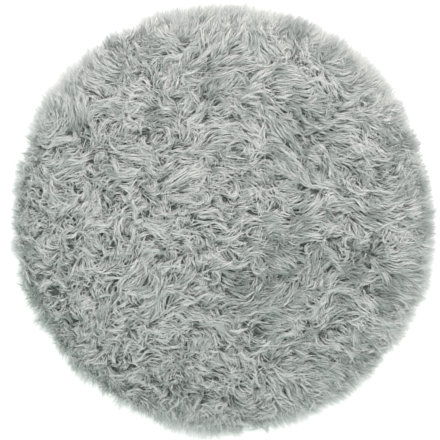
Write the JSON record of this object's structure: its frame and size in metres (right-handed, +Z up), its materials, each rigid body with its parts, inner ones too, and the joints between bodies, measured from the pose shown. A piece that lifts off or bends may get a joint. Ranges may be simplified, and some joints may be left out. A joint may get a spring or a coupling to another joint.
{
  "type": "shag rug",
  "caption": "Round shag rug of long, soft faux-fur pile that lies in swirled locks, with a fringe of locks combed outward at its rim.",
  "frame": {"origin": "on the floor, at the middle of the round outline's box", "axes": "+Z up out of the pile; +X to the right and +Y away from the viewer as the rug is seen from above"},
  "size_m": [0.8962, 0.9141, 0.0436],
  "materials": {
    "pile": "long soft matt pile, pale cool grey"
  },
  "bodies": {
    "root": {"shag_pile": "pile"}
  },
  "joints": []
}
